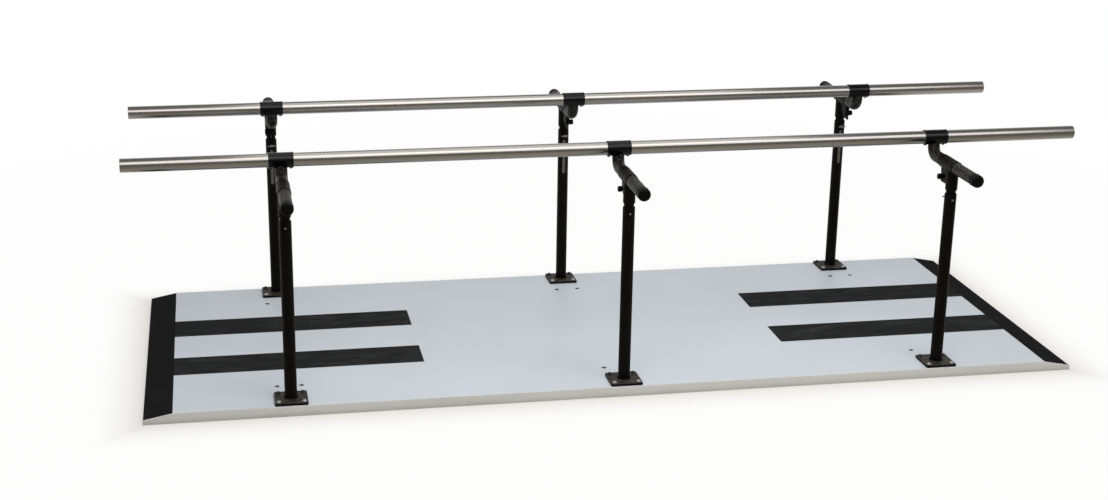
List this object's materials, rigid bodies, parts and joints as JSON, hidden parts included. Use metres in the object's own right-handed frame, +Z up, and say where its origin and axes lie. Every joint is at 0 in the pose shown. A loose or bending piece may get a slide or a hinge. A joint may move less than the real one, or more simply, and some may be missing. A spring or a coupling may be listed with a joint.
{
  "type": "rehab walking parallel bars",
  "caption": "Parallel handrails over a low platform with ramped ends, on posts that set their height and spacing, for walking therapy.",
  "frame": {"origin": "on the floor, under the middle of the platform", "axes": "+X along the handrails, -Y towards the near side, +Z up"},
  "size_m": [3.048, 1.4012, 0.7743],
  "materials": {
    "board": "raw edge, sealed",
    "laminate": "fine texture, satin",
    "trim": "satin",
    "rubber": "ribbed, matt",
    "powder_coat": "satin powder coat",
    "arm_coat": "hammered satin coat",
    "cap_plastic": "fine moulded grain",
    "clamp_plastic": "gloss",
    "stainless": "brushed lengthwise, polished",
    "zinc": "bright zinc plate"
  },
  "bodies": {
    "base": {"deck_board": "board", "deck_laminate": "laminate", "edge_trim_near": "trim", "tread_strip_near_left": "rubber", "tread_strip_near_right": "rubber", "edge_trim_far": "trim", "tread_strip_far_left": "rubber", "tread_strip_far_right": "rubber", "ramp_left": "rubber", "ramp_right": "rubber", "post_near_left": "powder_coat", "post_near_middle": "powder_coat", "post_near_right": "powder_coat", "post_far_left": "powder_coat", "post_far_middle": "powder_coat", "post_far_right": "powder_coat"},
    "near_lift": {"lift_near_left": "powder_coat", "lift_near_middle": "powder_coat", "lift_near_right": "powder_coat"},
    "near_rail": {"arm_near_left": "arm_coat", "arm_near_middle": "arm_coat", "arm_near_right": "arm_coat", "arm_cap_near_left": "cap_plastic", "arm_cap_near_middle": "cap_plastic", "arm_cap_near_right": "cap_plastic", "rail_clamp_near_left": "clamp_plastic", "rail_clamp_near_middle": "clamp_plastic", "rail_clamp_near_right": "clamp_plastic", "rail_near": "stainless", "rail_plug_near_left": "cap_plastic", "rail_plug_near_right": "cap_plastic"},
    "width_knob_near_left": {"width_knob_near_left": "cap_plastic"},
    "height_screw_near_left": {"height_screw_near_left": "zinc"},
    "width_knob_near_middle": {"width_knob_near_middle": "cap_plastic"},
    "height_screw_near_middle": {"height_screw_near_middle": "zinc"},
    "width_knob_near_right": {"width_knob_near_right": "cap_plastic"},
    "height_screw_near_right": {"height_screw_near_right": "zinc"},
    "far_lift": {"lift_far_left": "powder_coat", "lift_far_middle": "powder_coat", "lift_far_right": "powder_coat"},
    "far_rail": {"arm_far_left": "arm_coat", "arm_far_middle": "arm_coat", "arm_far_right": "arm_coat", "arm_cap_far_left": "cap_plastic", "arm_cap_far_middle": "cap_plastic", "arm_cap_far_right": "cap_plastic", "rail_clamp_far_left": "clamp_plastic", "rail_clamp_far_middle": "clamp_plastic", "rail_clamp_far_right": "clamp_plastic", "rail_far": "stainless", "rail_plug_far_left": "cap_plastic", "rail_plug_far_right": "cap_plastic"},
    "width_knob_far_left": {"width_knob_far_left": "cap_plastic"},
    "height_screw_far_left": {"height_screw_far_left": "zinc"},
    "width_knob_far_middle": {"width_knob_far_middle": "cap_plastic"},
    "height_screw_far_middle": {"height_screw_far_middle": "zinc"},
    "width_knob_far_right": {"width_knob_far_right": "cap_plastic"},
    "height_screw_far_right": {"height_screw_far_right": "zinc"}
  },
  "joints": [
    {"name": "near_height", "type": "slide", "parent": "base", "child": "near_lift", "axis": [0, 0, 1], "range_m": [-0.0127, 0.381]},
    {"name": "near_width", "type": "slide", "parent": "near_lift", "child": "near_rail", "axis": [0, 1, 0], "range_m": [-0.0254, 0.127]},
    {"name": "width_knob_near_left_turn", "type": "hinge", "parent": "near_lift", "child": "width_knob_near_left", "pos_m": [-1.048, -0.448, 0.64575], "axis": [1, 0, 0], "range_deg": [0, 450]},
    {"name": "height_screw_near_left_turn", "type": "hinge", "parent": "base", "child": "height_screw_near_left", "pos_m": [-1.048, -0.508, 0.58675], "axis": [0, 1, 0], "range_deg": [0, 450]},
    {"name": "width_knob_near_middle_turn", "type": "hinge", "parent": "near_lift", "child": "width_knob_near_middle", "pos_m": [0, -0.448, 0.64575], "axis": [-1, 0, 0], "range_deg": [0, 450]},
    {"name": "height_screw_near_middle_turn", "type": "hinge", "parent": "base", "child": "height_screw_near_middle", "pos_m": [0, -0.508, 0.58675], "axis": [0, 1, 0], "range_deg": [0, 450]},
    {"name": "width_knob_near_right_turn", "type": "hinge", "parent": "near_lift", "child": "width_knob_near_right", "pos_m": [1.048, -0.448, 0.64575], "axis": [-1, 0, 0], "range_deg": [0, 450]},
    {"name": "height_screw_near_right_turn", "type": "hinge", "parent": "base", "child": "height_screw_near_right", "pos_m": [1.048, -0.508, 0.58675], "axis": [0, 1, 0], "range_deg": [0, 450]},
    {"name": "far_height", "type": "slide", "parent": "base", "child": "far_lift", "axis": [0, 0, 1], "range_m": [-0.0127, 0.381]},
    {"name": "far_width", "type": "slide", "parent": "far_lift", "child": "far_rail", "axis": [0, -1, 0], "range_m": [-0.0254, 0.127]},
    {"name": "width_knob_far_left_turn", "type": "hinge", "parent": "far_lift", "child": "width_knob_far_left", "pos_m": [-1.048, 0.448, 0.64575], "axis": [-1, 0, 0], "range_deg": [0, 450]},
    {"name": "height_screw_far_left_turn", "type": "hinge", "parent": "base", "child": "height_screw_far_left", "pos_m": [-1.048, 0.508, 0.58675], "axis": [0, -1, 0], "range_deg": [0, 450]},
    {"name": "width_knob_far_middle_turn", "type": "hinge", "parent": "far_lift", "child": "width_knob_far_middle", "pos_m": [0, 0.448, 0.64575], "axis": [1, 0, 0], "range_deg": [0, 450]},
    {"name": "height_screw_far_middle_turn", "type": "hinge", "parent": "base", "child": "height_screw_far_middle", "pos_m": [0, 0.508, 0.58675], "axis": [0, -1, 0], "range_deg": [0, 450]},
    {"name": "width_knob_far_right_turn", "type": "hinge", "parent": "far_lift", "child": "width_knob_far_right", "pos_m": [1.048, 0.448, 0.64575], "axis": [1, 0, 0], "range_deg": [0, 450]},
    {"name": "height_screw_far_right_turn", "type": "hinge", "parent": "base", "child": "height_screw_far_right", "pos_m": [1.048, 0.508, 0.58675], "axis": [0, -1, 0], "range_deg": [0, 450]}
  ]
}
